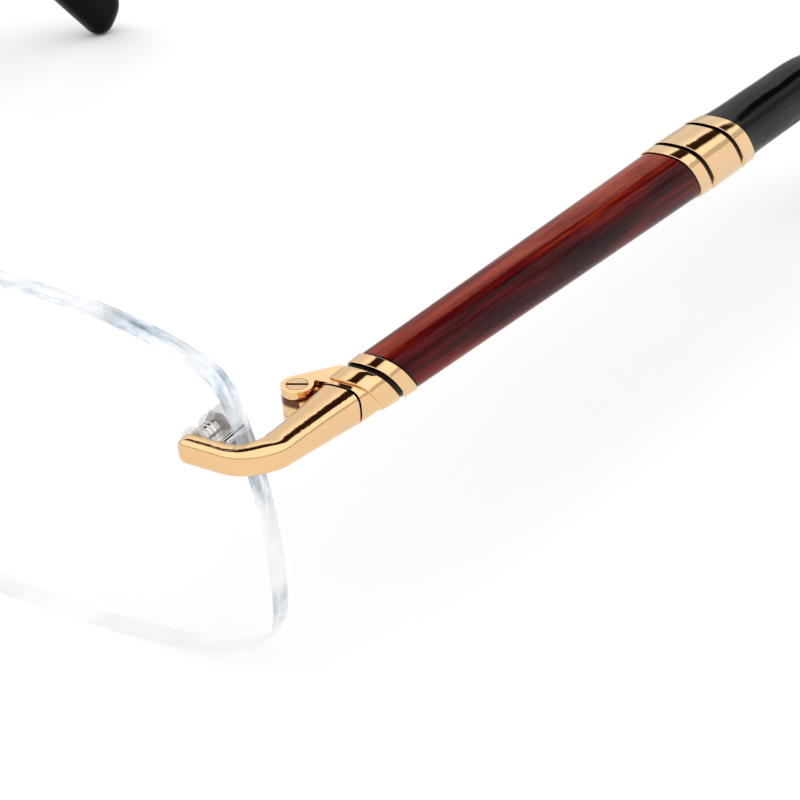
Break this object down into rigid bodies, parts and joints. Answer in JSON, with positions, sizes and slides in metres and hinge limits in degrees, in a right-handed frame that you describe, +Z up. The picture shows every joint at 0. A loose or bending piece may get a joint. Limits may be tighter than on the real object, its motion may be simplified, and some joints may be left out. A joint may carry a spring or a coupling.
{
  "type": "rimless eyeglasses",
  "caption": "Rimless eyeglasses: clear rounded-rectangle lenses on rose-gold end pieces, folding rosewood temples with banded ferrules and black tips, rocking nose pads.",
  "frame": {"origin": "centre of the bounding box at its base, on the surface the lens bottoms and temple tips stand on", "axes": "+Z up, front facing -Y, wearer's left along +X, temples running back along +Y"},
  "size_m": [0.1388, 0.1512, 0.0351],
  "materials": {
    "lens_clear": "clear, polished faces and polished edge",
    "rose_gold": "polished light rose-gold plating",
    "screw_gold": "polished plated screw, one plain slot",
    "silver_steel": "bright plated",
    "core_steel": "drawn wire",
    "clear_plastic": "clear moulded plastic",
    "pad_clear": "clear soft plastic",
    "black_enamel": "glossy black fill in the ferrule grooves",
    "rosewood": "red-brown streaked grain under high-gloss lacquer",
    "black_acetate": "polished black"
  },
  "bodies": {
    "front": {"bridge": "rose_gold", "endpiece_left": "rose_gold", "endpiece_right": "rose_gold", "lens_bushings": "silver_steel", "lens_left": "lens_clear", "lens_nuts": "silver_steel", "lens_pins": "silver_steel", "lens_right": "lens_clear", "lens_studs": "silver_steel", "lens_washers": "clear_plastic", "pad_arm_left": "rose_gold", "pad_arm_right": "rose_gold", "pad_screws": "rose_gold"},
    "left_temple": {"hinge_block_left": "rose_gold", "front_ferrule_left": "rose_gold", "front_enamel_left": "black_enamel", "wood_barrel_left": "rosewood", "rear_ferrule_left": "rose_gold", "rear_enamel_left": "black_enamel", "temple_tip_left": "black_acetate", "temple_core_left": "core_steel", "hinge_screw_left": "screw_gold"},
    "left_pad": {"nose_pad_left": "pad_clear", "pad_insert_left": "rose_gold"},
    "right_temple": {"hinge_block_right": "rose_gold", "front_ferrule_right": "rose_gold", "front_enamel_right": "black_enamel", "wood_barrel_right": "rosewood", "rear_ferrule_right": "rose_gold", "rear_enamel_right": "black_enamel", "temple_tip_right": "black_acetate", "temple_core_right": "core_steel", "hinge_screw_right": "screw_gold"},
    "right_pad": {"nose_pad_right": "pad_clear", "pad_insert_right": "rose_gold"}
  },
  "joints": [
    {"name": "left_temple_fold", "type": "hinge", "parent": "front", "child": "left_temple", "pos_m": [0.06233, -0.05965, 0.02361], "axis": [0, -0.1045, 0.9945], "range_deg": [0, 90]},
    {"name": "right_temple_fold", "type": "hinge", "parent": "front", "child": "right_temple", "pos_m": [-0.06233, -0.05965, 0.02361], "axis": [0, 0.1045, -0.9945], "range_deg": [0, 80]},
    {"name": "left_pad_rock", "type": "hinge", "parent": "front", "child": "left_pad", "pos_m": [0.0115, -0.06309, 0.01424], "axis": [0, 0.9945, 0.1045], "range_deg": [-8, 8]},
    {"name": "right_pad_rock", "type": "hinge", "parent": "front", "child": "right_pad", "pos_m": [-0.0115, -0.06309, 0.01424], "axis": [0, 0.9945, 0.1045], "range_deg": [-8, 8]}
  ]
}
